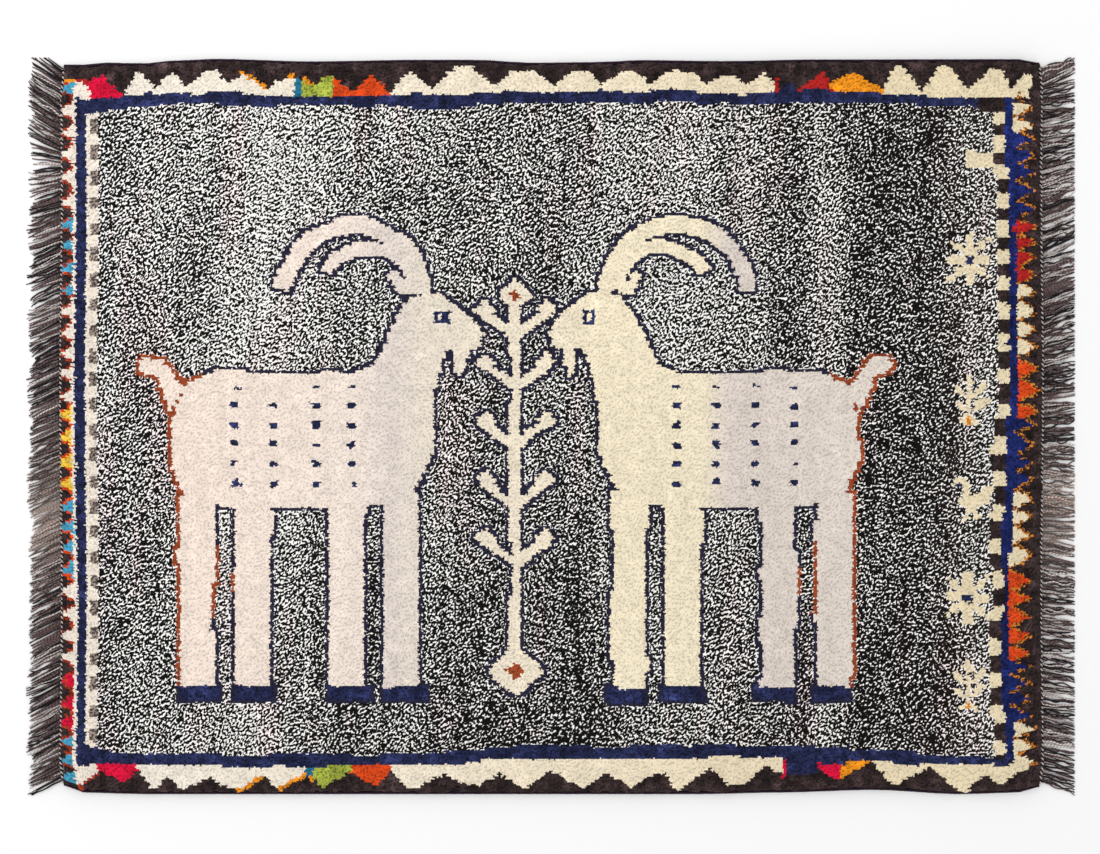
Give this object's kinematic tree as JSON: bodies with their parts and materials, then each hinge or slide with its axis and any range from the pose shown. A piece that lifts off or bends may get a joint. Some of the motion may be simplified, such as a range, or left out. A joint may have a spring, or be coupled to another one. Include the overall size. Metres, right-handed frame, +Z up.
{
  "type": "gabbeh rug",
  "caption": "Flat hand-knotted wool pile rug with a speckled field, toothed borders, overcast selvedges and a fringe of warp ends at each end.",
  "frame": {"origin": "on the floor under the middle of the whole rug, fringes included", "axes": "+X along the rug towards the right-hand fringe, +Y across it towards the far selvedge, +Z up through the pile"},
  "size_m": [1.614, 1.1294, 0.0162],
  "materials": {
    "pile": "knotted wool pile, salt-and-pepper field with cream, navy and coloured borders, matt with a soft sheen",
    "selvedge": "dark purple-brown wool wrapped round the edge warps",
    "fringe": "plied black, grey-brown and white wool warp ends"
  },
  "bodies": {
    "root": {"pile_body": "pile", "selvedge_far": "selvedge", "selvedge_near": "selvedge", "fringe_left": "fringe", "fringe_right": "fringe"}
  },
  "joints": []
}
